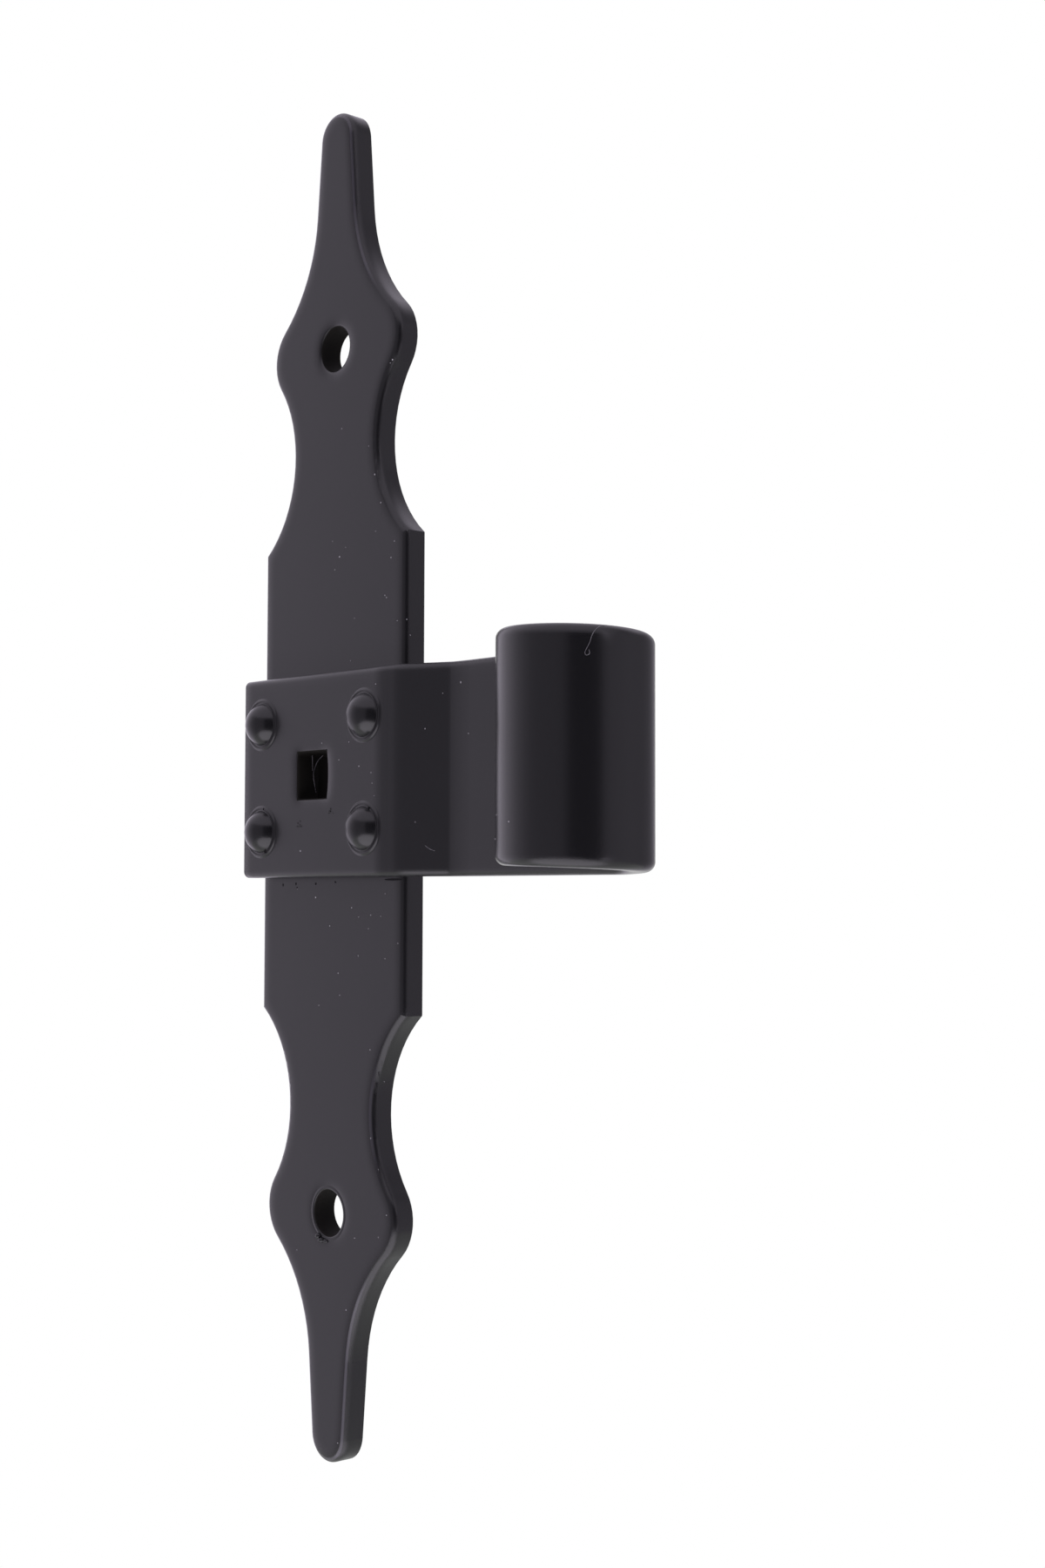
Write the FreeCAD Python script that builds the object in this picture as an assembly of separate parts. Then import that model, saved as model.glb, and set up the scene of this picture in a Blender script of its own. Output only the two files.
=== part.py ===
import FreeCAD, Part
import math
import os

# Gate strap hinge of powder-coated steel. An upright ornamental plate screws to the
# gate, a bent strap crosses it and ends in a rolled eye for the pintle, and four
# rivets hold the two together.
# The origin is the centre of the square bolt hole in the plane of the plate's back.
# +X runs along the strap to the eye, +Z is up, and the front faces -Y.
# All sizes are in millimetres and degrees.

# Plate, cut from flat bar
plate_width = 45.0
plate_thickness = 5.0
plate_length = 267.0
plate_front_round = 1.1
plate_back_bevel = 0.3
# Neck between the straight middle and the lobe
neck_width = 26.7
neck_radius = 24.3
# Lobe round the screw hole
lobe_width = 40.2
lobe_radius = 9.0
screw_spacing = 171.0
screw_hole = 9.0
screw_hole_round = 0.6
# Finger at each end
taper_radius = 32.0
finger_taper = 4.8
tip_radius = 5.3

# Strap, bent from flat bar
strap_thickness = 5.0
strap_height = 40.0
strap_front_round = 1.3
strap_end_round = 0.5
# The back's long edges, which become the eye's outer edges, are rounder
strap_back_round = 1.8
# Crank, which takes the strap back by the plate's thickness, so that both lie on the gate
crank_gap = 0.5
crank_angle = 24.0
crank_first_radius = 5.0
crank_second_radius = 2.0
# The end of the second bend, which runs out gently
crank_ease_radius = 45.0
crank_ease_angle = 6.0
# Eye, rolled forward round the pintle, with its edges a little higher each turn
pintle_diameter = 16.0
pintle_clearance = 1.0
eye_distance = 77.5
eye_seam = 0.6
eye_drift = 2.3

# Square hole punched through strap and plate for the neck of a gate bolt
square_hole = 9.2
square_hole_corner = 0.6
square_hole_round = 0.5
square_hole_bow = 0.4

# Rivets, placed from the plate's long edge and from the strap's long edge
rivet_inset_x = 6.2
rivet_inset_z = 9.2
rivet_head = 8.7
rivet_head_height = 3.2
rivet_shank = 5.5
rivet_clearance = 0.1
tail_diameter = 8.6
tail_depth = 1.6
tail_recess = 0.05
# Low lip that the riveting tool raises in the strap round each head
lip_diameter = 9.4
lip_width = 0.6
lip_crest = 0.2
lip_height = 0.2

V = FreeCAD.Vector
RIGHT = V(1, 0, 0)
UP = V(0, 0, 1)
FRONT = V(0, -1, 0)
FULL_TURN = 360.0
QUARTER_TURN = 90.0
TOLERANCE = 1e-4

plate_front = -plate_thickness
strap_front = plate_front - strap_thickness
strap_start = -plate_width / 2
screw_height = screw_spacing / 2
eye_bore = pintle_diameter + pintle_clearance
# Length of a tool that cuts through plate and strap from either side
through = 2 * (plate_thickness + strap_thickness)


def line(start, end):
    return Part.LineSegment(start, end).toShape()


def arc(centre, start, end):
    """Arc of less than half a turn about a centre."""
    radius = (start - centre).Length
    middle = (start - centre) + (end - centre)
    return Part.Arc(start, centre + middle.normalize() * radius, end).toShape()


def towards(start, end, distance):
    """Point at a distance from start on the way to end."""
    return start + (end - start).normalize() * distance


def closed_wire(edges):
    return Part.Wire(Part.__sortEdges__(edges))


def edges_at_y(shape, y):
    """Edges that lie in the upright plane at y."""
    return [edge for edge in shape.Edges
            if abs(edge.BoundBox.YMin - y) < TOLERANCE and abs(edge.BoundBox.YMax - y) < TOLERANCE]


def one_solid(shape):
    """The single solid that a fusion or a cut leaves."""
    return shape.removeSplitter().Solids[0]


def plate_outline():
    """Outline of the plate: one quarter of touching arcs, mirrored across and down."""
    half_width = plate_width / 2
    lobe = V(lobe_width / 2 - lobe_radius, 0, screw_height)
    # The neck is a hollow arc from the shoulder that touches the round of the lobe
    neck_x = neck_width / 2 + neck_radius
    neck_drop = math.sqrt((neck_radius + lobe_radius) ** 2 - (neck_x - lobe.x) ** 2)
    neck = V(neck_x, 0, screw_height - neck_drop)
    waist = V(neck_width / 2, 0, neck.z)
    shoulder_drop = math.sqrt(neck_radius ** 2 - (neck_x - half_width) ** 2)
    shoulder = V(half_width, 0, neck.z - shoulder_drop)
    neck_end = towards(neck, lobe, neck_radius)
    # The finger has straight sides that lean in to its round tip
    lean = math.radians(finger_taper)
    outward = V(math.cos(lean), 0, math.sin(lean))
    downward = V(math.sin(lean), 0, -math.cos(lean))
    tip = V(0, 0, plate_length / 2 - tip_radius)
    crown = V(0, 0, plate_length / 2)
    side_end = tip + outward * tip_radius
    # The taper is a hollow arc that touches the lobe and the finger's side
    offset_side = side_end + outward * taper_radius
    to_lobe = lobe - offset_side
    along = to_lobe.dot(downward)
    short_of_lobe = math.sqrt((taper_radius + lobe_radius) ** 2 - to_lobe.Length ** 2 + along ** 2)
    taper = offset_side + downward * (along - short_of_lobe)
    lobe_end = towards(lobe, taper, lobe_radius)
    side_start = taper - outward * taper_radius

    quarter = [Part.Arc(shoulder, waist, neck_end).toShape(),
               arc(lobe, neck_end, lobe_end),
               arc(taper, lobe_end, side_start),
               line(side_start, side_end),
               arc(tip, side_end, crown)]
    upper_half = quarter + [edge.mirror(V(), RIGHT) for edge in quarter]
    outline = upper_half + [edge.mirror(V(), UP) for edge in upper_half]
    for side in (1, -1):
        outline.append(line(V(side * half_width, 0, -shoulder.z), V(side * half_width, 0, shoulder.z)))
    return closed_wire(outline)


def rivet_places():
    """Name and place of each rivet, seen from the front with the eye on the right."""
    across = plate_width / 2 - rivet_inset_x
    up = strap_height / 2 - rivet_inset_z
    places = {}
    for row, z in (("upper", up), ("lower", -up)):
        for side, x in (("left", -across), ("right", across)):
            places["rivet_" + row + "_" + side] = V(x, 0, z)
    return places


def rivet_hole(place):
    """Hole for one rivet: a straight bore with a countersink in the plate's back."""
    bore = (rivet_shank + rivet_clearance) / 2
    sink = (tail_diameter + rivet_clearance) / 2
    hole = Part.makeCylinder(bore, through, place, FRONT)
    return hole.fuse(Part.makeCone(sink, bore, tail_depth, place, FRONT))


def square_bolt_hole():
    """Punched square hole, whose two upright sides both bow a little towards the eye."""
    half = square_hole / 2
    sides = [line(V(-half, 0, z), V(half, 0, z)) for z in (half, -half)]
    for x in (half, -half):
        middle = V(x + square_hole_bow, 0, 0)
        sides.append(Part.Arc(V(x, 0, -half), middle, V(x, 0, half)).toShape())
    tool = Part.Face(closed_wire(sides)).extrude(FRONT * 2 * through)
    tool.translate(FRONT * -through)
    corners = [edge for edge in tool.Edges if edge.BoundBox.YLength > through]
    return tool.makeFillet(square_hole_corner, corners)


def cut_bolt_and_rivet_holes(body):
    holes = [rivet_hole(place) for place in rivet_places().values()]
    return one_solid(body.cut(holes + [square_bolt_hole()]))


def cross_plate():
    """The upright plate with its screw holes, bolt hole and rivet holes."""
    body = Part.Face(plate_outline()).extrude(FRONT * plate_thickness)
    body = body.makeFillet(plate_front_round, edges_at_y(body, plate_front))
    body = body.makeChamfer(plate_back_bevel, edges_at_y(body, 0.0))
    for side in (1, -1):
        centre = V(0, 0, side * screw_height)
        body = body.cut(Part.makeCylinder(screw_hole / 2, plate_thickness, centre, FRONT))
    rims = [edge for edge in edges_at_y(body, plate_front) if edge.isClosed()]
    return cut_bolt_and_rivet_holes(body.makeFillet(screw_hole_round, rims))


class Bar:
    """Flat bar that is laid out stretch by stretch and bent about upright axes."""

    def __init__(self, start):
        self.end = start
        self.heading = 0.0
        self.stretches = []
        self.sections = []
        self.back_points = []
        self.note_section()

    def section(self, thickness=strap_thickness, height=strap_height):
        """Upright rectangle across the bar at its end."""
        face = Part.makePlane(thickness, height, V(-thickness / 2, 0, -height / 2), FRONT, RIGHT)
        face.rotate(V(), UP, QUARTER_TURN + self.heading)
        face.translate(self.end)
        return face

    def turned(self, vector):
        """A vector of a bar that runs along +X, turned to this bar's heading."""
        return FreeCAD.Rotation(UP, self.heading).multVec(vector)

    def note_section(self):
        self.sections.append(self.section())
        self.back_points.append(self.end - self.turned(FRONT) * (strap_thickness / 2))

    def add(self, stretch):
        self.stretches.append(stretch)
        self.note_section()

    def straight(self, length):
        way = self.turned(RIGHT) * length
        stretch = self.section().extrude(way)
        self.end = self.end + way
        self.add(stretch)

    def turn_about(self, centre, angle):
        self.end = centre + FreeCAD.Rotation(UP, angle).multVec(self.end - centre)
        self.heading += angle

    def bend(self, inner_radius, angle):
        """Turn by an angle, positive towards the gate."""
        middle_radius = inner_radius + strap_thickness / 2
        centre = self.end - self.turned(FRONT) * math.copysign(middle_radius, angle)
        stretch = self.section().revolve(centre, UP, angle)
        self.turn_about(centre, angle)
        self.add(stretch)

    def roll_eye(self):
        """Roll the end forward round the pintle until it nearly meets the strap."""
        middle_radius = (eye_bore + strap_thickness) / 2
        outer_radius = eye_bore / 2 + strap_thickness
        open_part = math.degrees(math.acos((eye_bore / 2 - eye_seam) / outer_radius))
        turn = FULL_TURN - open_part
        rise = eye_drift * turn / FULL_TURN
        centre = self.end + FRONT * middle_radius
        # The walls are round about the upright axis, and taller than the eye
        walls = self.section(height=strap_height + 2 * eye_drift).revolve(centre, UP, -turn)
        # The edges are those of a thicker bar that climbs a helix and sets out along +X
        path = Part.makeHelix(eye_drift, rise, middle_radius).mirror(V(), FRONT)
        path.rotate(V(), UP, QUARTER_TURN)
        path.translate(centre)
        climb = Part.BRepOffsetAPI.MakePipeShell(Part.Wire(path.Edges))
        climb.setBiNormalMode(UP)
        climb.add(self.section(thickness=2 * strap_thickness).OuterWire)
        climb.build()
        climb.makeSolid()
        self.turn_about(centre, -turn)
        self.end = self.end + UP * rise
        self.add(walls.common(climb.shape()))

    def runs_along(self, edge):
        """True for an edge that lies on none of the sections between stretches."""
        middle = Part.Vertex(edge.valueAt((edge.FirstParameter + edge.LastParameter) / 2))
        return all(section.distToShape(middle)[0] > TOLERANCE for section in self.sections)

    def on_back(self, edge):
        """True for an edge that sets out from the back of the bar."""
        start = edge.Vertexes[0].Point
        return any(math.hypot(start.x - point.x, start.y - point.y) < TOLERANCE for point in self.back_points)

    def solid(self):
        """The bar in one piece, with the edges that run along it rounded."""
        body = one_solid(self.stretches[0].fuse(self.stretches[1:]))
        long_edges = [edge for edge in body.Edges if self.runs_along(edge)]
        back_edges = [edge for edge in long_edges if self.on_back(edge)]
        body = body.makeFillet(strap_back_round, back_edges)
        front_edges = [edge for edge in body.Edges
                       if self.runs_along(edge) and any(edge.isSame(one) for one in long_edges)]
        return body.makeFillet(strap_front_round, front_edges)


def bend_depth(inner_radius, from_angle, to_angle):
    """How far a bend takes the bar's middle back while its slope changes."""
    middle_radius = inner_radius + strap_thickness / 2
    return middle_radius * abs(math.cos(math.radians(to_angle)) - math.cos(math.radians(from_angle)))


def bent_bar():
    """Flat stretch on the plate, crank, second flat stretch and rolled eye."""
    slope_depth = plate_thickness - bend_depth(crank_first_radius, 0, crank_angle)
    slope_depth -= bend_depth(crank_second_radius, crank_angle, crank_ease_angle)
    slope_depth -= bend_depth(crank_ease_radius, crank_ease_angle, 0)
    bar = Bar(V(strap_start, plate_front - strap_thickness / 2, 0))
    bar.straight(plate_width + crank_gap)
    bar.bend(crank_first_radius, crank_angle)
    bar.straight(slope_depth / math.sin(math.radians(crank_angle)))
    bar.bend(crank_second_radius, crank_ease_angle - crank_angle)
    bar.bend(crank_ease_radius, -crank_ease_angle)
    bar.straight(eye_distance - bar.end.x)
    bar.roll_eye()
    return bar.solid()


def lip(place):
    """Low flat-topped ridge round one rivet head, a little sunk into the strap."""
    middle = lip_diameter / 2
    sections = [(middle - lip_width / 2, 0), (middle - lip_crest / 2, -lip_height),
                (middle + lip_crest / 2, -lip_height), (middle + lip_width / 2, 0),
                (middle + lip_width / 2, lip_height), (middle - lip_width / 2, lip_height)]
    corners = [V(x, y, 0) for x, y in sections]
    ring = Part.Face(Part.makePolygon(corners + corners[:1])).revolve(V(), FRONT, FULL_TURN)
    ring.translate(place + V(0, strap_front, 0))
    return ring


def hinge_strap():
    """The bent bar with its free end eased, tool lips, bolt hole and rivet holes."""
    body = bent_bar()
    end_edges = [edge for edge in body.Edges if edge.BoundBox.XMax < strap_start + TOLERANCE]
    body = body.makeFillet(strap_end_round, end_edges)
    body = body.fuse([lip(place) for place in rivet_places().values()])
    body = cut_bolt_and_rivet_holes(body)
    reach = square_hole / 2 + square_hole_bow + TOLERANCE
    rim = [edge for edge in edges_at_y(body, strap_front)
           if max(abs(edge.CenterOfMass.x), abs(edge.CenterOfMass.z)) < reach]
    return one_solid(body.makeFillet(square_hole_round, rim))


def rivet(place):
    """One rivet: dome head on the strap, shank, and a tail sunk flush in the plate."""
    back = place + FRONT * tail_recess
    shank = Part.makeCylinder(rivet_shank / 2, -strap_front - tail_recess, back, FRONT)
    tail = Part.makeCone(tail_diameter / 2, rivet_shank / 2, tail_depth - tail_recess, back, FRONT)
    dome_radius = (rivet_head ** 2 / 4 + rivet_head_height ** 2) / (2 * rivet_head_height)
    seat = place + V(0, strap_front, 0)
    ball = Part.makeSphere(dome_radius, seat - FRONT * (dome_radius - rivet_head_height))
    outside = Part.makeCylinder(2 * dome_radius, 2 * dome_radius, seat, FRONT)
    return one_solid(shank.fuse([tail, ball.common(outside)]))


parts = {"cross_plate": cross_plate(), "hinge_strap": hinge_strap()}
for name, place in rivet_places().items():
    parts[name] = rivet(place)

os.makedirs("parts", exist_ok=True)
for name, shape in parts.items():
    shape.exportStep("parts/" + name + ".step")
    print(name, "valid" if shape.isValid() else "NOT VALID", round(shape.Volume, 1), "mm3")
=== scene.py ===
import math
import random

import bmesh
import bpy
from mathutils import Matrix, Vector


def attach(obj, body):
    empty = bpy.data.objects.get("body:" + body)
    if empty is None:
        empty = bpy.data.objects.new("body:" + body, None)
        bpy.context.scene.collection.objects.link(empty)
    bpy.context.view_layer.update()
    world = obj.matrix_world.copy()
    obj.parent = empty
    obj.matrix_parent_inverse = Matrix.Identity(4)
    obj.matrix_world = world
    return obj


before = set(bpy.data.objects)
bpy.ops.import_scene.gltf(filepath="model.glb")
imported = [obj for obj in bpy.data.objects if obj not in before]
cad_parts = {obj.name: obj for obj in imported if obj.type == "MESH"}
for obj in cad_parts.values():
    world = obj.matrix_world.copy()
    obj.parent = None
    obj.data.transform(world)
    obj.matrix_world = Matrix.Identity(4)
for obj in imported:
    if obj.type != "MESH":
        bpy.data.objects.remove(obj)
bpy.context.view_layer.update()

# Cross plate: one flat bar of steel, cut to its outline and punched, with the front
# edges rolled over. It is powder coated together with the strap and the rivets, so all
# three have the same skin.

# The holes, in metres: height and radius of the screw holes, half the square hole's
# side and its shift to the right
screw_height = 0.0855
screw_hole_radius = 0.0045
bolt_hole_half = 0.0046
bolt_hole_shift = 0.0002
# The front edges roll over within this width, and only on the front half of the bar
roll_width = 4.0e-3
roll_front = -4.2e-3
roll_back = -1.8e-3
# The fingers' edges sharpen between these heights, by this factor
finger_start = 0.096
finger_full = 0.108
finger_sharpness = 3.5
# Middle of the lower neck, and how strong its painted highlight on the edge's crest is beside the fingers'
neck_height = -0.066
neck_highlight = 0.6
# Where the strap starts to lean, leans most and bends, across
lean_start = 0.0188
lean_full = 0.0224
lean_end = 0.0252


def linear(colour):
    """sRGB hex colour as linear RGBA."""
    channels = [int(colour[i:i + 2], 16) / 255 for i in (1, 3, 5)]
    return [c / 12.92 if c <= 0.04045 else ((c + 0.055) / 1.055) ** 2.4 for c in channels] + [1.0]


def node(tree, kind, settings=None, **links):
    """Adds a node. settings are attributes, links are inputs with values or sockets. An
    input goes by its name, or by _ and its number."""
    new = tree.nodes.new(kind)
    for name, value in (settings or {}).items():
        setattr(new, name, value)
    for name, value in links.items():
        key = int(name[1:]) if name[0] == "_" and name[1:].isdigit() else name.replace("_", " ")
        if isinstance(value, bpy.types.NodeSocket):
            tree.links.new(value, new.inputs[key])
        else:
            new.inputs[key].default_value = value
    return new


def per_mm(size):
    """Noise scale on coordinates in metres that gives features of a size in millimetres."""
    return 1000.0 / size


def new_material(name):
    material = bpy.data.materials.new(name)
    material.use_nodes = True
    material.node_tree.nodes.clear()
    return material, material.node_tree


def hole_walls(tree, place):
    """1 on the walls of the two screw holes, else 0, and the same for all three holes.
    Each ends a fraction of a millimetre outside the wall, on the rim's rounding."""
    folded = node(tree, "ShaderNodeVectorMath", {"operation": "ABSOLUTE"}, _0=place)
    beside = node(tree, "ShaderNodeVectorMath", {"operation": "MULTIPLY_ADD"}, _0=folded.outputs[0],
                  _1=(1, 0, 1), _2=(0, 0, -screw_height))
    distance = node(tree, "ShaderNodeVectorMath", {"operation": "LENGTH"}, _0=beside.outputs[0])
    in_round = node(tree, "ShaderNodeMapRange", Value=distance.outputs["Value"],
                    From_Min=screw_hole_radius + 0.15e-3, From_Max=screw_hole_radius + 0.05e-3)
    moved = node(tree, "ShaderNodeVectorMath", {"operation": "SUBTRACT"}, _0=place,
                 _1=(bolt_hole_shift, 0, 0))
    square = node(tree, "ShaderNodeVectorMath", {"operation": "ABSOLUTE"}, _0=moved.outputs[0])
    sides = node(tree, "ShaderNodeSeparateXYZ", Vector=square.outputs[0])
    larger = node(tree, "ShaderNodeMath", {"operation": "MAXIMUM"}, _0=sides.outputs["X"],
                  _1=sides.outputs["Z"])
    in_square = node(tree, "ShaderNodeMapRange", Value=larger.outputs[0],
                     From_Min=bolt_hole_half + 0.3e-3, From_Max=bolt_hole_half + 0.2e-3)
    in_any = node(tree, "ShaderNodeMath", {"operation": "MAXIMUM"}, _0=in_round.outputs[0],
                  _1=in_square.outputs[0])
    return in_round.outputs[0], in_any.outputs[0]


def sharper_fingers(tree, sides, bearing):
    """On the two fingers the punch broke the edge over early, so there the rounding's
    bearing turns from face to side within a few tenths of a millimetre. Gives the new
    bearing, and the share of a painted highlight, a paler grey in place of the light
    that the edge's crest catches: 1 on the crest of that edge, less on the crest of the
    lower neck's edge, else 0."""
    away = node(tree, "ShaderNodeMath", {"operation": "ABSOLUTE"}, _0=sides.outputs["Z"])
    gain = node(tree, "ShaderNodeMapRange", {"interpolation_type": "SMOOTHSTEP"}, Value=away.outputs[0],
                From_Min=finger_start, From_Max=finger_full, To_Min=1.0, To_Max=finger_sharpness)
    stretch = node(tree, "ShaderNodeCombineXYZ", X=gain.outputs[0], Y=1.0, Z=gain.outputs[0])
    turned = node(tree, "ShaderNodeVectorMath", {"operation": "MULTIPLY"}, _0=bearing, _1=stretch.outputs[0])
    sharp = node(tree, "ShaderNodeVectorMath", {"operation": "NORMALIZE"}, _0=turned.outputs[0])
    # The painted highlight goes on the crest, what faces 3 to 42 degrees away from the front
    forward = node(tree, "ShaderNodeSeparateXYZ", Vector=bearing)
    begun = node(tree, "ShaderNodeMapRange", Value=forward.outputs["Y"], From_Min=-0.999, From_Max=-0.985)
    ended = node(tree, "ShaderNodeMapRange", Value=forward.outputs["Y"], From_Min=-0.74, From_Max=-0.86)
    highlight_band = node(tree, "ShaderNodeMath", {"operation": "MULTIPLY"}, _0=begun.outputs[0], _1=ended.outputs[0])
    outer = node(tree, "ShaderNodeMapRange", {"interpolation_type": "SMOOTHSTEP"}, Value=away.outputs[0],
                 From_Min=finger_start - 2e-3, From_Max=finger_start + 6e-3)
    from_neck = node(tree, "ShaderNodeMath", {"operation": "SUBTRACT"}, _0=sides.outputs["Z"],
                     _1=neck_height)
    off_neck = node(tree, "ShaderNodeMath", {"operation": "ABSOLUTE"}, _0=from_neck.outputs[0])
    neck = node(tree, "ShaderNodeMapRange", {"interpolation_type": "SMOOTHSTEP"}, Value=off_neck.outputs[0],
                From_Min=0.012, From_Max=0.004, To_Min=0.0, To_Max=neck_highlight)
    where = node(tree, "ShaderNodeMath", {"operation": "MAXIMUM"}, _0=outer.outputs[0], _1=neck.outputs[0])
    # Share of the painted highlight on the edge's crest
    pale = node(tree, "ShaderNodeMath", {"operation": "MULTIPLY"}, _0=highlight_band.outputs[0], _1=where.outputs[0])
    return sharp.outputs[0], pale.outputs[0]


def powder_coat(name, roll_over=0.45, early_bend=0.0):
    """Satin black polyester powder coat on steel: near-black body colour under a soft
    gloss, with faint orange peel. The eye gets a smooth skin that is dark where it
    mirrors the dark of the room and grey where it mirrors pale walls. Little powder
    reaches into the punched holes, so their walls stay matt. roll_over is the share of
    the rolled edge in the bearing, and early_bend the strap's lean before its bend."""
    material, tree = new_material(name)
    place = node(tree, "ShaderNodeTexCoord").outputs["Object"]
    sides = node(tree, "ShaderNodeSeparateXYZ", Vector=place)
    straight = node(tree, "ShaderNodeNewGeometry")
    in_round, in_hole = hole_walls(tree, place)
    sharp, highlight_band = sharper_fingers(tree, sides, straight.outputs["Normal"])
    # Cloudy drift of the coat's thickness over some 12 mm, and dusty walls in the holes
    clouds = node(tree, "ShaderNodeTexNoise", Vector=place, Scale=per_mm(12), Detail=3.0)
    open_coat = node(tree, "ShaderNodeMix", {"data_type": "RGBA"}, Factor=clouds.outputs["Fac"],
                     _6=linear("#19191b"), _7=linear("#1d1d1f"))
    thin_coat = node(tree, "ShaderNodeMix", {"data_type": "RGBA"}, Factor=in_hole,
                     _6=open_coat.outputs[2], _7=linear("#1f1e1b"))
    dusty_coat = node(tree, "ShaderNodeMix", {"data_type": "RGBA"}, Factor=in_round,
                      _6=thin_coat.outputs[2], _7=linear("#232220"))
    # Painted highlight: a paler grey along the crests of the fingers' and the lower neck's front edges, in
    # place of the light that the punched edge catches
    body = node(tree, "ShaderNodeMix", {"data_type": "RGBA"}, Factor=highlight_band,
                _6=dusty_coat.outputs[2], _7=linear("#49474d"))
    # Grains of powder that melted less, 0.25 mm across, drawn at 0.5 mm so that they show
    grain = node(tree, "ShaderNodeTexNoise", Vector=place, Scale=per_mm(0.5), Detail=2.0)
    rough = node(tree, "ShaderNodeMapRange", Value=grain.outputs["Fac"],
                 From_Min=0.3, From_Max=0.7, To_Min=0.24, To_Max=0.27)
    # Edges rolled over by punching: the faces lean a few degrees over the last 4 mm. The
    # edges that lie on the gate stay sharp
    bent = node(tree, "ShaderNodeBevel", {"samples": 8}, Radius=roll_width)
    share = node(tree, "ShaderNodeMapRange", {"interpolation_type": "SMOOTHSTEP"}, Value=sides.outputs["Y"],
                 From_Min=roll_front, From_Max=roll_back, To_Min=roll_over, To_Max=0.0)
    eased = node(tree, "ShaderNodeMix", {"data_type": "VECTOR"}, Factor=share.outputs[0],
                 _4=sharp, _5=bent.outputs["Normal"])
    # The flat before the first bend already leans towards it, over some 3 mm
    leaning = node(tree, "ShaderNodeMapRange", {"interpolation_type": "SMOOTHSTEP"}, Value=sides.outputs["X"],
                   From_Min=lean_start, From_Max=lean_full, To_Min=0.0, To_Max=early_bend)
    still = node(tree, "ShaderNodeMapRange", {"interpolation_type": "SMOOTHSTEP"}, Value=sides.outputs["X"],
                 From_Min=lean_full, From_Max=lean_end, To_Min=1.0, To_Max=0.0)
    lean = node(tree, "ShaderNodeMath", {"operation": "MULTIPLY"}, _0=leaning.outputs[0],
                _1=still.outputs[0])
    sideways = node(tree, "ShaderNodeCombineXYZ", X=lean.outputs[0])
    leant = node(tree, "ShaderNodeVectorMath", {"operation": "ADD"}, _0=eased.outputs[1],
                 _1=sideways.outputs[0])
    rolled = node(tree, "ShaderNodeVectorMath", {"operation": "NORMALIZE"}, _0=leant.outputs[0])
    # Orange peel: waves 2.5 mm across and under a thousandth of a millimetre high
    peel = node(tree, "ShaderNodeTexNoise", Vector=place, Scale=per_mm(2.5), Detail=1.0)
    wavy = node(tree, "ShaderNodeBump", Strength=1.0, Distance=0.7e-6, Height=peel.outputs["Fac"],
                Normal=rolled.outputs[0])
    grainy = node(tree, "ShaderNodeBump", Strength=1.0, Distance=0.08e-6, Height=grain.outputs["Fac"],
                  Normal=wavy.outputs["Normal"])
    roughness = node(tree, "ShaderNodeMix", Factor=in_hole, _2=rough.outputs[0], _3=0.65)
    gloss = node(tree, "ShaderNodeMix", Factor=in_hole, _2=0.5, _3=0.05)
    skin = node(tree, "ShaderNodeBsdfPrincipled", Base_Color=body.outputs[2], Roughness=roughness.outputs[0],
                Specular_IOR_Level=gloss.outputs[0], IOR=1.5, Normal=grainy.outputs["Normal"])
    node(tree, "ShaderNodeOutputMaterial", Surface=skin.outputs["BSDF"])
    return material


def coat(name, material):
    """Puts a material on a carried-over node."""
    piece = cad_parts[name]
    piece.data.materials.clear()
    piece.data.materials.append(material)


coat("cross_plate", powder_coat("powder_coat_satin_plate"))

# Hinge strap: one flat bar, bent back beside the plate and rolled into the eye while
# cold, then powder coated with the plate.

coat("hinge_strap", powder_coat("powder_coat_satin_strap", early_bend=0.15))

# Rivets: four dome-head steel rivets through strap and plate, set with a hand tool and
# coated after setting.

for rivet in ("upper_left", "upper_right", "lower_left", "lower_right"):
    coat("rivet_" + rivet, powder_coat("powder_coat_satin_rivet_" + rivet, roll_over=0.0))

# Pooled coat: the riveting tool leaves a low lip in the strap round each head, and the
# molten powder fills the groove between the two and runs out over the lip. It also
# draws back into a low bead round the mouth of the lower screw hole, with one run.

plate_face = -5.0
strap_face = -10.0
rivet_across = 16.3
rivet_up = 10.8
# Sections, by distance from the hole's or rivet's axis and height on the face
pool_section = [(4.00, 0.48), (4.20, 0.38), (4.33, 0.31), (4.42, 0.27), (4.50, 0.28), (4.58, 0.33),
                (4.68, 0.37), (4.78, 0.37), (4.88, 0.34), (4.98, 0.25), (5.08, 0.14), (5.20, 0.06),
                (5.40, -0.03)]
bead_section = [(4.48, -0.70), (4.47, -0.40), (4.53, -0.14), (4.66, -0.02), (4.82, 0.04), (5.00, 0.06),
                (5.18, 0.04), (5.38, 0.00), (5.60, -0.05)]
pool_steps = 96
# The run at the lower left of the lower hole: across, front, up and half sizes
coat_run = [((-2.9, plate_face, -90.2), (0.75, 0.80, 0.65)), ((-1.9, plate_face, -90.9), (0.80, 0.90, 0.55)),
            ((-0.8, plate_face, -91.0), (0.80, 0.45, 0.40))]
# Nibs where two clots of powder melted: the middle of each clot and its number of lumps
coat_nibs = [((-3.7, strap_face, -9.5), 6), ((6.3, strap_face, -7.4), 5)]
chance = random.Random(7)


def add_piece(name, shape, material):
    """Makes an object of a finished shape and lets it ride on the hinge."""
    mesh = bpy.data.meshes.new(name)
    bmesh.ops.recalc_face_normals(shape, faces=shape.faces)
    shape.to_mesh(mesh)
    shape.free()
    mesh.materials.append(material)
    piece = bpy.data.objects.new(name, mesh)
    bpy.context.scene.collection.objects.link(piece)
    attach(piece, "root")


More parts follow.
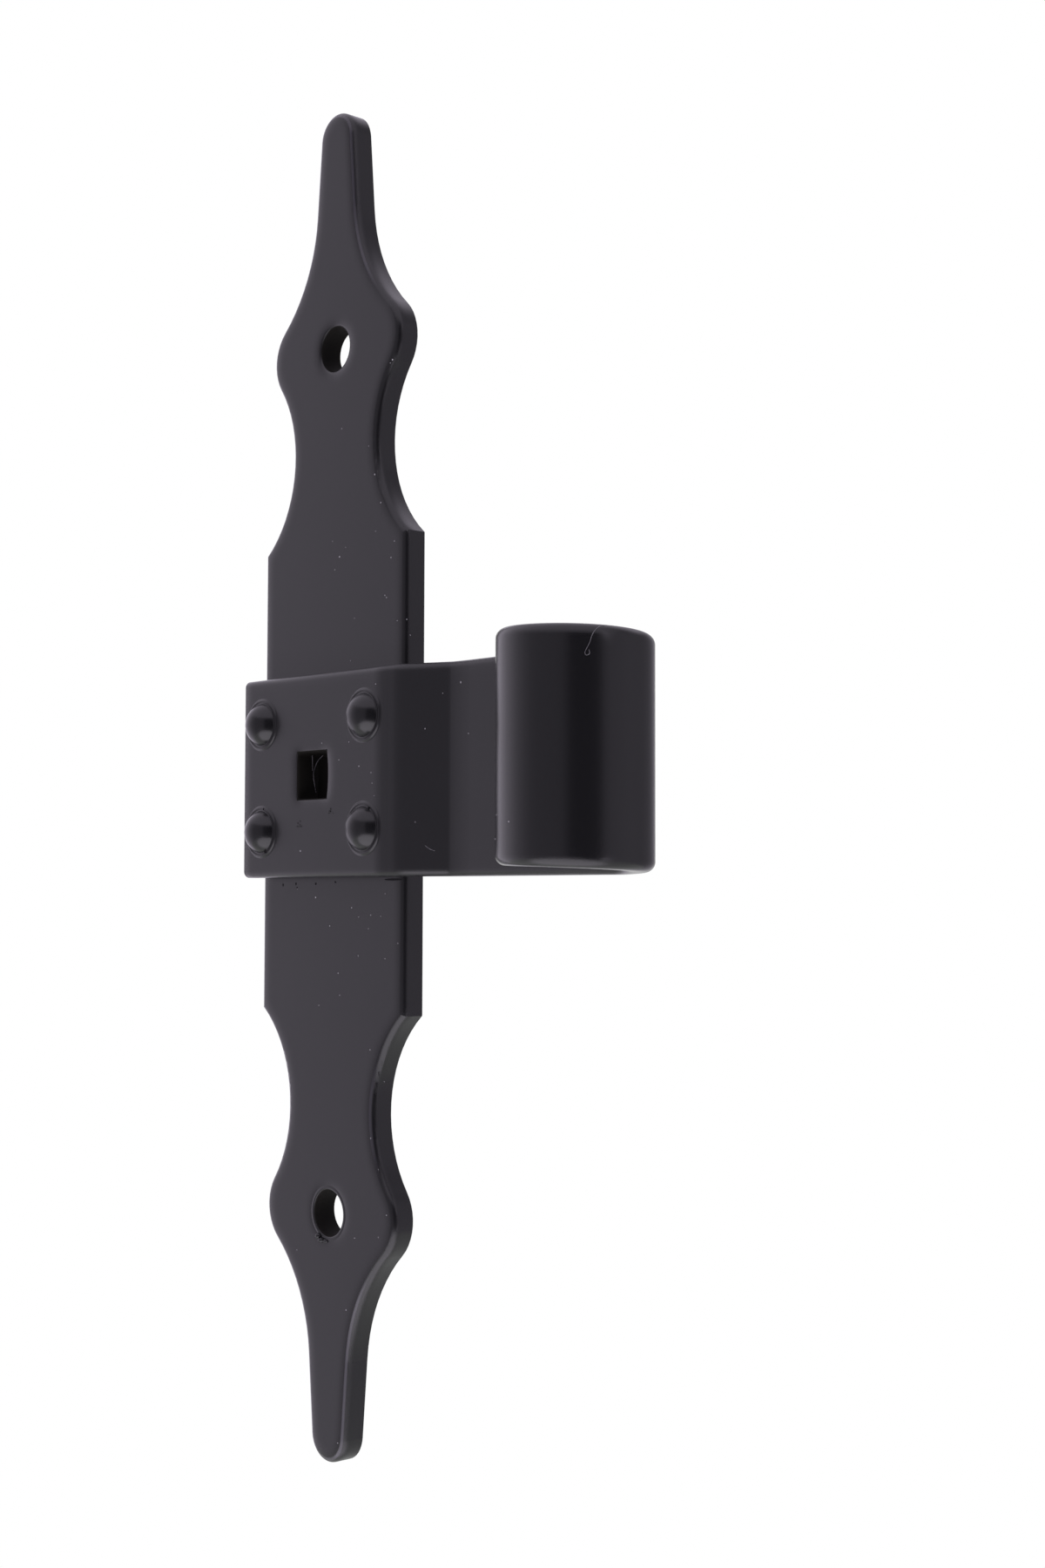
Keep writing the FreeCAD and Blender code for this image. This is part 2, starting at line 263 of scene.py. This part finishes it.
def add_grain(shape, place, radii):
    """One rounded lump at a place, with its three half sizes, in millimetres."""
    size = Matrix.Diagonal((*(radius / 1000 for radius in radii), 1))
    bmesh.ops.create_icosphere(shape, subdivisions=2, radius=1.0,
                               matrix=Matrix.Translation(Vector(place) / 1000) @ size)


shape = bmesh.new()
rings = [((x, strap_face, z), pool_section)
         for x in (-rivet_across, rivet_across) for z in (-rivet_up, rivet_up)]
rings.append(((0, plate_face, -1000 * screw_height), bead_section))
for middle, section in rings:
    corners = [shape.verts.new((Vector(middle) + Vector((away, -height, 0))) / 1000)
               for away, height in section]
    edges = [shape.edges.new(pair) for pair in zip(corners, corners[1:])]
    bmesh.ops.spin(shape, geom=corners + edges, cent=Vector(middle) / 1000, axis=(0, 1, 0),
                   angle=2 * math.pi, steps=pool_steps, use_merge=True)
for place, radii in coat_run:
    add_grain(shape, place, radii)
for (x, y, z), count in coat_nibs:
    for _ in range(count):
        radius = chance.uniform(0.14, 0.28)
        add_grain(shape, (x + chance.uniform(-0.8, 0.8), y, z + chance.uniform(-0.6, 0.6)),
                  (radius, 0.9 * radius, radius))
for face in shape.faces:
    face.smooth = True
add_piece("pooled_coat", shape, powder_coat("powder_coat_pooled", roll_over=0.0))

# Dust: pale grains of packing dust that cling to the coat, most of them by the edges of
# the crossing and between the rivets. Each lies half sunk in the skin.

# Grains on the flat faces: across, up and radius, in millimetres
plate_dust = [
    (2.1, 43.4, 0.15), (5.8, -103.4, 0.13), (14.9, 52.5, 0.13), (13.0, 58.3, 0.13), (2.6, -38.7, 0.11),
    (20.1, 29.0, 0.10), (6.7, -25.9, 0.12), (12.6, -27.3, 0.10), (-4.8, -23.9, 0.12), (2.5, 69.0, 0.09),
    (8.8, -35.2, 0.09), (17.9, -84.0, 0.09), (5.8, 22.4, 0.09), (-0.2, -29.5, 0.10), (16.8, 33.8, 0.08),
    (-10.0, -93.8, 0.08), (8.9, -27.7, 0.08), (3.1, -43.0, 0.08), (8.3, -89.4, 0.08), (17.0, -35.6, 0.07),
    (3.5, -129.1, 0.07), (20.8, -32.6, 0.07), (11.9, -29.9, 0.07), (-3.5, -45.2, 0.07), (4.0, 45.1, 0.07),
    (16.3, 34.3, 0.07), (12.6, -53.1, 0.07), (0.6, 41.0, 0.07), (7.0, 30.7, 0.06), (15.5, -88.4, 0.07),
    (13.4, 47.1, 0.06), (11.0, 64.2, 0.06), (-10.8, -22.2, 0.06), (-0.2, 46.8, 0.06), (-4.3, -88.4, 0.05),
    (19.1, 44.5, 0.12), (18.1, 41.4, 0.09), (15.6, -27.5, 0.07), (16.9, -23.2, 0.07)]
strap_dust = [
    (20.9, 12.8, 0.09), (3.3, 6.1, 0.09), (14.9, 1.1, 0.10), (19.8, 16.5, 0.09), (19.5, 14.7, 0.06),
    (11.8, 5.9, 0.08), (19.6, -4.7, 0.07), (18.6, -0.3, 0.07), (-3.3, -14.8, 0.16), (8.7, 2.6, 0.07),
    (18.9, -2.3, 0.07)]
# Grains on edges, crank, second flat and eye: across, front, up and radius
other_dust = [
    (17.8, -4.7, 80.1, 0.12), (13.0, -5.0, -69.9, 0.12), (22.3, -4.5, 29.1, 0.11), (22.5, -3.8, 26.1, 0.10),
    (14.2, -2.7, -59.2, 0.06), (21.5, -3.2, 47.2, 0.06), (22.3, -4.5, 46.2, 0.06), (22.4, -4.1, -39.5, 0.06),
    (17.3, -4.8, 79.5, 0.06), (15.1, -4.8, -75.7, 0.06), (38.7, -5.08, 15.8, 0.15),
    (31.2, -7.33, 7.5, 0.13), (75.5, -26.85, -11.5, 0.09), (40.8, -5.02, 6.2, 0.08),
    (29.4, -8.1, -9.9, 0.07), (34.5, -5.87, 14.0, 0.07), (70.6, -25.1, -10.2, 0.06),
    (69.6, -24.5, -14.2, 0.07)]
# A clump of finer grains on the left rim of the square hole
dust_clumps = [((-4.4, -9.7, 1.4), 3)]
# The grains are drawn larger than they are by this much, so that they show from a step away
dust_growth = 1.15


def dry_dust(name, dark, pale):
    """Dry dust and lint: matt, and pale against the coat, each grain in its own grey."""
    material, tree = new_material(name)
    place = node(tree, "ShaderNodeTexCoord").outputs["Object"]
    clouds = node(tree, "ShaderNodeTexNoise", Vector=place, Scale=per_mm(3), Detail=1.0)
    spread = node(tree, "ShaderNodeMapRange", Value=clouds.outputs["Fac"], From_Min=0.35, From_Max=0.65)
    colour = node(tree, "ShaderNodeMix", {"data_type": "RGBA"}, Factor=spread.outputs[0],
                  _6=linear(dark), _7=linear(pale))
    fluff = node(tree, "ShaderNodeTexNoise", Vector=place, Scale=per_mm(0.2), Detail=1.0)
    rough = node(tree, "ShaderNodeMapRange", Value=fluff.outputs["Fac"], To_Min=0.8, To_Max=1.0)
    bump = node(tree, "ShaderNodeBump", Strength=0.5, Distance=2.0e-5, Height=fluff.outputs["Fac"])
    skin = node(tree, "ShaderNodeBsdfPrincipled", Base_Color=colour.outputs[2], Roughness=rough.outputs[0],
                Specular_IOR_Level=0.1, Normal=bump.outputs["Normal"])
    node(tree, "ShaderNodeOutputMaterial", Surface=skin.outputs["BSDF"])
    return material


shape = bmesh.new()
grains = [(x, plate_face, z, radius) for x, z, radius in plate_dust]
grains += [(x, strap_face, z, radius) for x, z, radius in strap_dust]
for x, y, z, radius in grains + other_dust:
    radius *= dust_growth
    add_grain(shape, (x, y, z), (radius, 0.6 * radius, radius * chance.uniform(0.8, 1.3)))
for (x, y, z), count in dust_clumps:
    for _ in range(count):
        radius = dust_growth * chance.uniform(0.06, 0.10)
        add_grain(shape, (x + chance.uniform(-0.5, 0.5), y, z + chance.uniform(-0.5, 0.5)),
                  (radius, 0.6 * radius, radius))
add_piece("dust_grains", shape, dry_dust("dry_dust_pale", "#a8a6aa", "#eae8eb"))

# Dark spots below the strap and beside the lower rivets, dull and nearly black; and a
# painted shadow: a dark strip on the plate along the strap's lower edge, where the gap
# under the strap lies in shade.

# Across, front, up and half sizes
# The flat strip at 19.3 across and 20.5 down, 5.6 mm long, is painted shadow under the strap's edge
dark_spots_and_shadow = [((-15.6, plate_face, -21.4), (0.25, 0.02, 0.35)), ((-11.3, plate_face, -21.2), (0.25, 0.02, 0.30)),
        ((-10.9, plate_face, -22.0), (0.20, 0.02, 0.25)), ((-4.8, plate_face, -21.2), (0.30, 0.02, 0.25)),
        ((1.5, plate_face, -20.9), (0.30, 0.02, 0.20)), ((19.3, plate_face, -20.5), (2.80, 0.02, 0.22)),
        ((-15.2, -10.32, -6.2), (0.26, 0.10, 0.24)), ((-14.4, -10.50, -14.9), (0.26, 0.12, 0.24)),
        ((18.4, -10.36, -7.0), (0.26, 0.12, 0.24))]
shape = bmesh.new()
for place, radii in dark_spots_and_shadow:
    add_grain(shape, place, radii)
# Dull and nearly black, with a little mottle; this also colours the painted shadow
# under the strap's lower edge
material, tree = new_material("dull_dark_and_painted_shadow")
place = node(tree, "ShaderNodeTexCoord").outputs["Object"]
mottle = node(tree, "ShaderNodeTexNoise", Vector=place, Scale=per_mm(0.4), Detail=2.0)
colour = node(tree, "ShaderNodeMix", {"data_type": "RGBA"}, Factor=mottle.outputs["Fac"],
              _6=linear("#141316"), _7=linear("#2a282b"))
rough = node(tree, "ShaderNodeMapRange", Value=mottle.outputs["Fac"], To_Min=0.6, To_Max=0.8)
bump = node(tree, "ShaderNodeBump", Strength=0.3, Distance=1.0e-5, Height=mottle.outputs["Fac"])
skin = node(tree, "ShaderNodeBsdfPrincipled", Base_Color=colour.outputs[2], Roughness=rough.outputs[0],
            Specular_IOR_Level=0.1, Normal=bump.outputs["Normal"])
node(tree, "ShaderNodeOutputMaterial", Surface=skin.outputs["BSDF"])
add_piece("dark_spots_and_painted_shadow", shape, material)

# Lint: a few short fibres of cloth, stuck to the eye's upper edge, to the crank and in
# the mouth of the square hole.

lint_lines = [
    # Radius of each fibre and points along it, in millimetres
    (0.03, [(89.2, -18.3, 20.5), (89.1, -19.4, 20.2), (89.1, -20.4, 19.5), (88.9, -20.9, 18.6),
            (88.7, -21.2, 17.5), (88.4, -21.6, 16.5), (88.2, -21.8, 15.8), (88.4, -21.6, 15.4),
            (88.7, -21.2, 15.7), (88.6, -21.3, 16.3)]),
    (0.025, [(31.4, -7.3, -14.3), (32.2, -7.0, -14.9), (33.2, -6.5, -15.3)]),
    (0.055, [(-4.0, -4.0, 4.4), (-4.2, -5.2, 3.2), (-4.1, -6.0, 1.7), (-4.0, -6.4, 0.0), (-4.2, -5.6, -3.1)]),
    (0.055, [(-4.2, -6.6, 4.2), (-4.0, -6.6, 1.2)]),
]
# Straight lengths between two points of a fibre, and how far each reaches into the next
fibre_steps = 6
fibre_overlap = 1.1


def smooth_line(points, steps):
    """Points of an even curve through the given points."""
    ends = [points[0]] + points + [points[-1]]
    curve = []
    for a, b, c, d in zip(ends, ends[1:], ends[2:], ends[3:]):
        for step in range(steps):
            t = step / steps
            curve.append(0.5 * (2 * b + (c - a) * t + (2 * a - 5 * b + 4 * c - d) * t * t
                                + (3 * b - a - 3 * c + d) * t ** 3))
    return curve + [points[-1]]


shape = bmesh.new()
for radius, points in lint_lines:
    curve = smooth_line([Vector(point) / 1000 for point in points], fibre_steps)
    for start, end in zip(curve, curve[1:]):
        way = end - start
        turn = way.to_track_quat("Z", "Y").to_matrix().to_4x4()
        bmesh.ops.create_cone(shape, cap_ends=True, segments=6, radius1=radius / 1000,
                              radius2=radius / 1000, depth=way.length * fibre_overlap,
                              matrix=Matrix.Translation((start + end) / 2) @ turn)
add_piece("lint", shape, dry_dust("lint_pale", "#6c6a6f", "#a8a6aa"))

# Floor: a round table top of pale laminate, well below the hinge, which hangs free
# above it and touches nothing.

floor_level = -0.30
floor_radius = 0.44
floor_middle = 0.02
shape = bmesh.new()
bmesh.ops.create_circle(shape, cap_ends=True, radius=floor_radius, segments=96,
                        matrix=Matrix.Translation((floor_middle, 0, floor_level)))
floor_mesh = bpy.data.meshes.new("floor")
shape.to_mesh(floor_mesh)
shape.free()
floor = bpy.data.objects.new("floor", floor_mesh)
bpy.context.scene.collection.objects.link(floor)

# Matt pale laminate: no gloss, so the table keeps a soft shadow and mirrors nothing
material, tree = new_material("matt_pale_laminate")
matt = node(tree, "ShaderNodeBsdfDiffuse", Color=linear("#e9f2e1"))
node(tree, "ShaderNodeOutputMaterial", Surface=matt.outputs[0])
floor_mesh.materials.append(material)

# Studio: a tent of white cloth on the left, a grey room in front and on the right, and
# a dark gap where the camera stands. The world holds them, and a round soft box that
# lies low in front lights the undersides.

# Brightness of the walls by azimuth in degrees, from the hinge's front (0) round its
# right-hand side (90)
studio = [(-180, 0.26), (-152, 0.55), (-130, 1.3), (-106, 1.35), (-82, 1.12), (-64, 0.98),
          (-54, 0.88), (-50, 0.75), (-47, 0.68), (-37, 0.58), (-26, 0.42), (-16, 0.34), (28, 0.33),
          (33, 0.22), (38, 0.03), (79, 0.03), (83, 0.14), (91, 0.44), (101, 0.52), (113, 0.53),
          (124, 0.54), (135, 0.50), (150, 0.38), (164, 0.30), (180, 0.26)]
# The ceiling is lit fully, except in the corner behind the hinge on the right
ceiling_corner = 0.35
# Two upright windows in the right-hand wall, one above the hinge's level and one below
window_azimuth = 92.0
window_half_width = 4.5
window_light = 1.9
cloth = [1.04 * channel for channel in linear("#f7efff")[:3]] + [1.0]
soft_box_azimuth = 38.0
soft_box_radius = 0.25
soft_box_level = -0.28
soft_box_watts = 0.9

world = bpy.data.worlds.new("studio")
bpy.context.scene.world = world
world.use_nodes = True
tree = world.node_tree
tree.nodes.clear()
way = node(tree, "ShaderNodeTexCoord").outputs["Generated"]
parts = node(tree, "ShaderNodeSeparateXYZ", Vector=way)
front = node(tree, "ShaderNodeMath", {"operation": "MULTIPLY"}, _0=parts.outputs["Y"], _1=-1.0)
azimuth = node(tree, "ShaderNodeMath", {"operation": "ARCTAN2"}, _0=parts.outputs["X"], _1=front.outputs[0])
turn = node(tree, "ShaderNodeMapRange", Value=azimuth.outputs[0],
            From_Min=-math.pi, From_Max=math.pi, To_Min=0.0, To_Max=1.0)
walls = node(tree, "ShaderNodeValToRGB", Fac=turn.outputs[0])
ramp = walls.color_ramp
ramp.interpolation = "LINEAR"
while len(ramp.elements) > 1:
    ramp.elements.remove(ramp.elements[0])
for i, (degrees, level) in enumerate(studio):
    stop = ramp.elements[0] if i == 0 else ramp.elements.new((degrees + 180) / 360)
    stop.position = (degrees + 180) / 360
    stop.color = (level * cloth[0], level * cloth[1], level * cloth[2], 1)
off_level = node(tree, "ShaderNodeMath", {"operation": "ABSOLUTE"}, _0=parts.outputs["Z"])
tall = node(tree, "ShaderNodeMapRange", {"interpolation_type": "SMOOTHSTEP"}, Value=off_level.outputs[0],
            From_Min=0.18, From_Max=0.30)
beside = node(tree, "ShaderNodeMath", {"operation": "SUBTRACT"},
              _0=azimuth.outputs[0], _1=math.radians(window_azimuth))
spread = node(tree, "ShaderNodeMath", {"operation": "ABSOLUTE"}, _0=beside.outputs[0])
wide = node(tree, "ShaderNodeMapRange", {"interpolation_type": "SMOOTHSTEP"}, Value=spread.outputs[0],
            From_Min=math.radians(window_half_width + 2), From_Max=math.radians(window_half_width - 2))
window = node(tree, "ShaderNodeMath", {"operation": "MULTIPLY"}, _0=tall.outputs[0], _1=wide.outputs[0])
lit_walls = node(tree, "ShaderNodeMix", {"data_type": "RGBA"}, Factor=window.outputs[0],
                 _6=walls.outputs["Color"], _7=[window_light * channel for channel in cloth])
upward = node(tree, "ShaderNodeMapRange", {"interpolation_type": "SMOOTHSTEP"}, Value=parts.outputs["Z"],
              From_Min=0.50, From_Max=0.58)
rightward = node(tree, "ShaderNodeMapRange", Value=parts.outputs["X"], From_Min=0.0, From_Max=0.35)
backward = node(tree, "ShaderNodeMapRange", Value=parts.outputs["Y"], From_Min=0.1, From_Max=0.5)
corner = node(tree, "ShaderNodeMath", {"operation": "MULTIPLY"}, _0=rightward.outputs[0],
              _1=backward.outputs[0])
ceiling = node(tree, "ShaderNodeMapRange", Value=corner.outputs[0], To_Min=1.0, To_Max=ceiling_corner)
overhead = node(tree, "ShaderNodeMix", {"data_type": "RGBA"}, Factor=ceiling.outputs[0],
                _6=(0, 0, 0, 1), _7=cloth)
room = node(tree, "ShaderNodeMix", {"data_type": "RGBA"}, Factor=upward.outputs[0],
            _6=lit_walls.outputs[2], _7=overhead.outputs[2])
# The white backdrop stands behind the hinge, as the camera sees it
camera_azimuth = 47.018
backdrop_half_width = 22
opposite = math.radians(camera_azimuth)
behind = node(tree, "ShaderNodeVectorMath", {"operation": "DOT_PRODUCT"},
              _0=way, _1=(-math.sin(opposite), math.cos(opposite), 0))
backdrop = node(tree, "ShaderNodeMath", {"operation": "GREATER_THAN"},
                _0=behind.outputs["Value"], _1=math.cos(math.radians(backdrop_half_width)))
rays = node(tree, "ShaderNodeLightPath")
mirrored = node(tree, "ShaderNodeMath", {"operation": "MAXIMUM"},
                _0=rays.outputs["Is Glossy Ray"], _1=rays.outputs["Is Transmission Ray"])
in_gloss = node(tree, "ShaderNodeMath", {"operation": "MULTIPLY"}, _0=mirrored.outputs[0],
                _1=backdrop.outputs[0])
seen = node(tree, "ShaderNodeMath", {"operation": "MAXIMUM"},
            _0=rays.outputs["Is Camera Ray"], _1=in_gloss.outputs[0])
colour = node(tree, "ShaderNodeMix", {"data_type": "RGBA"}, Factor=seen.outputs[0],
              _6=room.outputs[2], _7=linear("#ffffff"))
sky = node(tree, "ShaderNodeBackground", Color=colour.outputs[2], Strength=1.0)
node(tree, "ShaderNodeOutputWorld", Surface=sky.outputs[0])

soft_box = bpy.data.lights.new("low_soft_box", "AREA")
soft_box.shape = "DISK"
soft_box.size = 2 * soft_box_radius
soft_box.energy = soft_box_watts
soft_box.color = cloth[:3]
lamp = bpy.data.objects.new("low_soft_box", soft_box)
box_bearing = math.radians(soft_box_azimuth)
box_place = Vector((soft_box_radius * math.sin(box_bearing), -soft_box_radius * math.cos(box_bearing),
                    soft_box_level))
lamp.matrix_world = Matrix.Translation(box_place) @ Matrix.Rotation(math.pi, 4, "X")
lamp.visible_camera = False
bpy.context.scene.collection.objects.link(lamp)

# Camera: a little below the hinge's middle, to the right of its front, looking up. Its
# place and lens are the ones that the photo's outlines were fitted with.

camera_pitch = 3.138
camera_roll = 0.1416
camera_distance = 0.38297
aim = Vector((0.055377, -0.005, -0.00367))
lens = 49.234

around = math.radians(camera_azimuth)
rise = math.radians(camera_pitch)
ahead = Vector((-math.sin(around) * math.cos(rise), math.cos(around) * math.cos(rise), math.sin(rise)))
across = Vector((math.cos(around), math.sin(around), 0))
upright = across.cross(ahead)
roll = Matrix.Rotation(math.radians(camera_roll), 3, -ahead)
across = roll @ across
upright = roll @ upright
camera_data = bpy.data.cameras.new("camera")
camera_data.lens = lens
camera_data.clip_start = 0.01
camera = bpy.data.objects.new("camera", camera_data)
turned = Matrix((across, upright, -ahead)).transposed()
camera.matrix_world = Matrix.Translation(aim - camera_distance * ahead) @ turned.to_4x4()
bpy.context.scene.collection.objects.link(camera)
bpy.context.scene.camera = camera
bpy.context.scene.view_settings.view_transform = "Standard"
